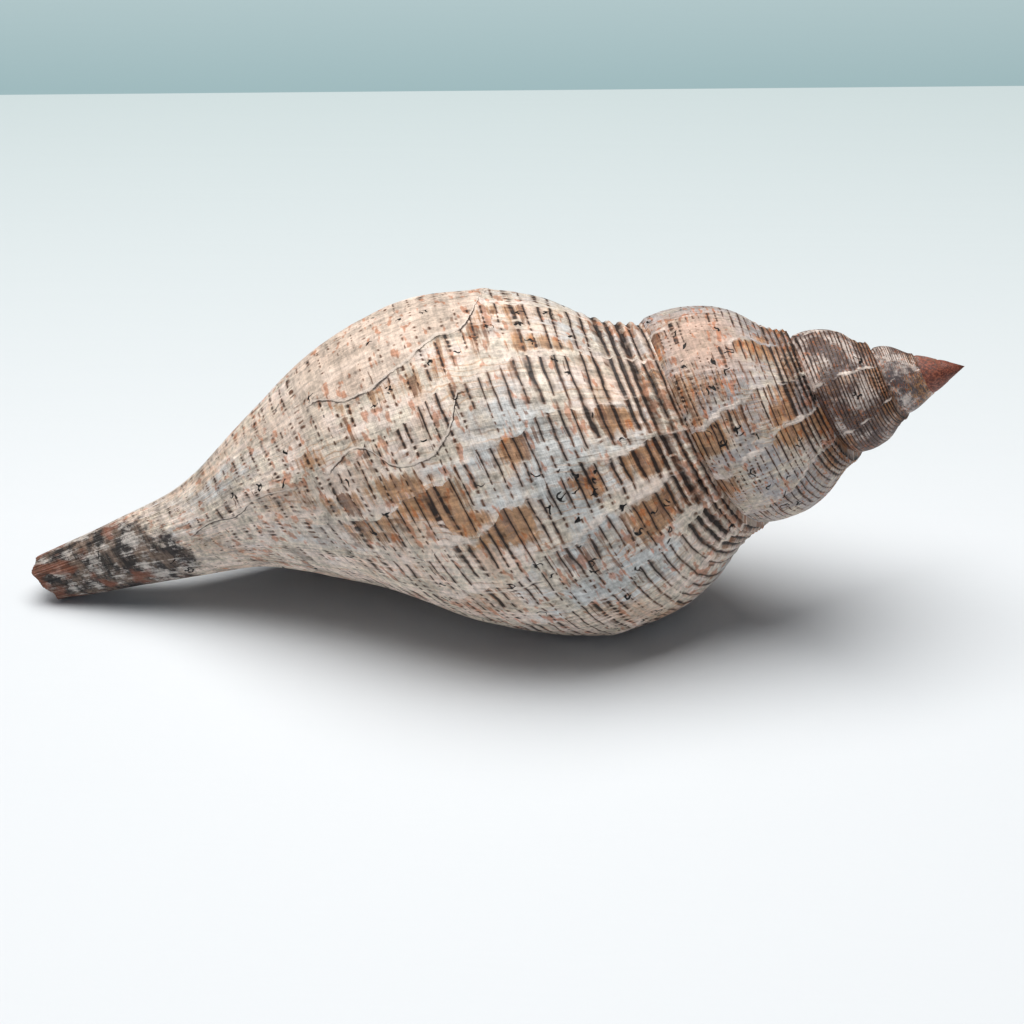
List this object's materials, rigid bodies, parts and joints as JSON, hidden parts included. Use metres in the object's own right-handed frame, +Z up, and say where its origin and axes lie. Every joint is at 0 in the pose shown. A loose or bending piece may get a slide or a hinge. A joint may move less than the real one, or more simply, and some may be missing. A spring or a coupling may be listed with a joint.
{
  "type": "tulip shell",
  "caption": "Worn, coiled sea snail shell with a tall spire and a long open canal, lying mouth down as a natural ornament.",
  "frame": {"origin": "bottom centre of the shell's bounding box, on the surface it lies on", "axes": "+X along the shell towards the apex, +Z up; the canal's tip is at -X, the outer lip and the mouth are at the back (+Y) and underneath"},
  "size_m": [0.1439, 0.0593, 0.0503],
  "materials": {
    "worn_shell": "worn, unpolished shell, cream with tan and brown bands and dark broken spiral lines, low gloss"
  },
  "bodies": {
    "root": {"shell": "worn_shell"}
  },
  "joints": []
}
